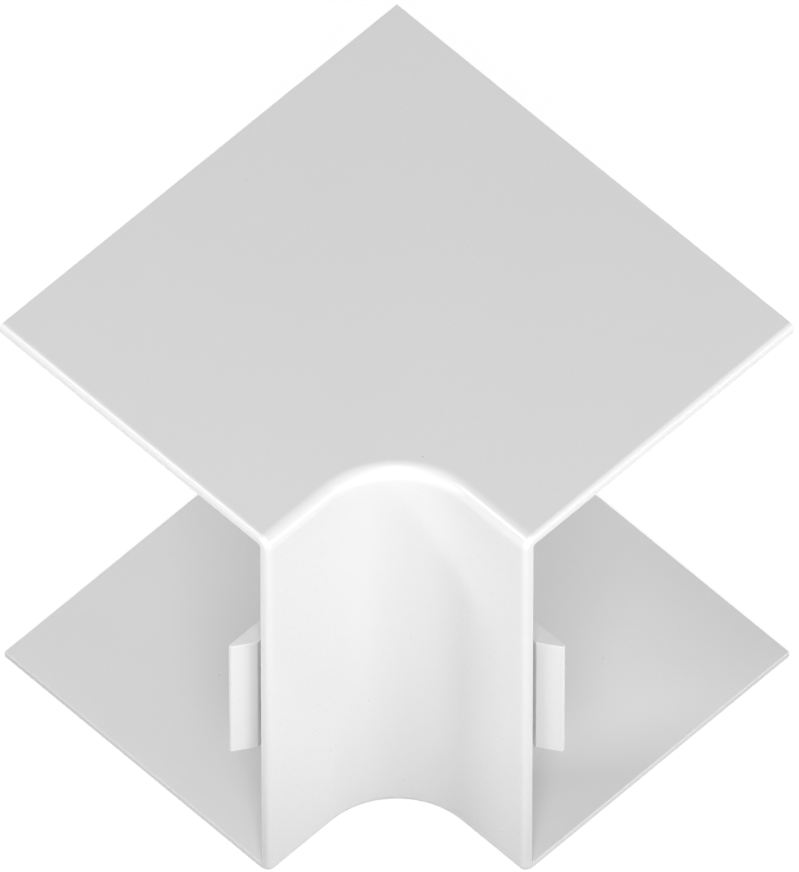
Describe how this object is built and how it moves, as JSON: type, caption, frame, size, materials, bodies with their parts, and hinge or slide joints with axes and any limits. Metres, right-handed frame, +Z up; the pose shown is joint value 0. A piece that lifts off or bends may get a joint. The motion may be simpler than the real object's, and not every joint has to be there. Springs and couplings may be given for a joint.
{
  "type": "trunking internal corner",
  "caption": "Internal corner cover for wall trunking: flat plates above and below a concave bent front wall, with moulded tongues that hold the trunking lid at its open ends.",
  "frame": {"origin": "the room's corner line, where the two wall planes meet, at the cover's underside", "axes": "+Z up along the room's corner; the walls are the planes x = 0 and y = 0; one leg runs along +X and the other along +Y, and both open ends face outward along them"},
  "size_m": [0.094, 0.094, 0.0944],
  "materials": {
    "white_plastic": "satin moulded white PVC"
  },
  "bodies": {
    "root": {"corner_cover": "white_plastic"}
  },
  "joints": []
}
